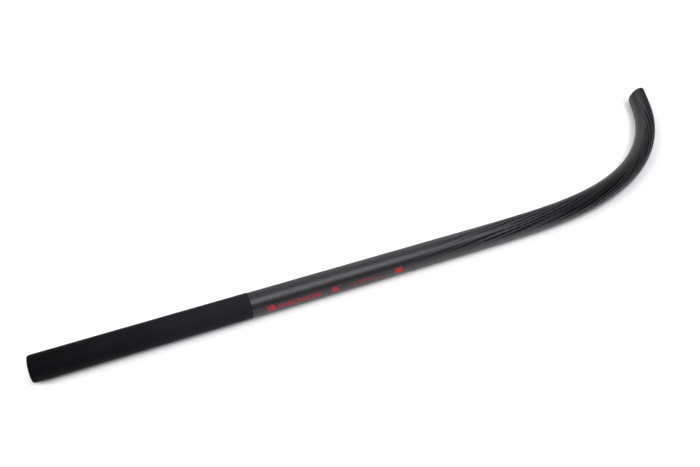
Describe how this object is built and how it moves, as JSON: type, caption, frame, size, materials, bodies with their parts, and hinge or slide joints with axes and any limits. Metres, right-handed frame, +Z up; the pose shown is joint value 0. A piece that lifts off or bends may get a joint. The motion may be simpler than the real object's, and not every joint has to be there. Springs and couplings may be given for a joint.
{
  "type": "bait throwing stick",
  "caption": "Hollow carbon bait throwing stick: straight handle with a thin rubber grip, tube hooked at the open muzzle, butt closed by a removable rubber bung.",
  "frame": {"origin": "bottom centre of the whole object's box, as it lies on its side", "axes": "+X along the straight handle from the butt towards the muzzle, +Y the way the muzzle is hooked, +Z up, square to the plane of the bend"},
  "size_m": [0.8396, 0.1892, 0.0245],
  "materials": {
    "carbon_laminate": "dark grey carbon laminate, satin, with fine tape-wrap ribs round the tube and shallow twisted flutes towards the muzzle",
    "grip_rubber": "matt near-black shrunk-on rubber skin",
    "bung_rubber": "moulded black rubber",
    "stop_foam": "closed-cell foam, matt",
    "print_red": "thin red printed bars"
  },
  "bodies": {
    "stick": {"carbon_blank": "carbon_laminate", "grip_sleeve": "grip_rubber"},
    "bung": {"butt_bung": "bung_rubber", "bait_stop_pad": "stop_foam"}
  },
  "joints": [
    {"name": "bung_pull", "type": "slide", "parent": "stick", "child": "bung", "axis": [-1, 0, 0], "range_m": [0, 0.034]}
  ]
}
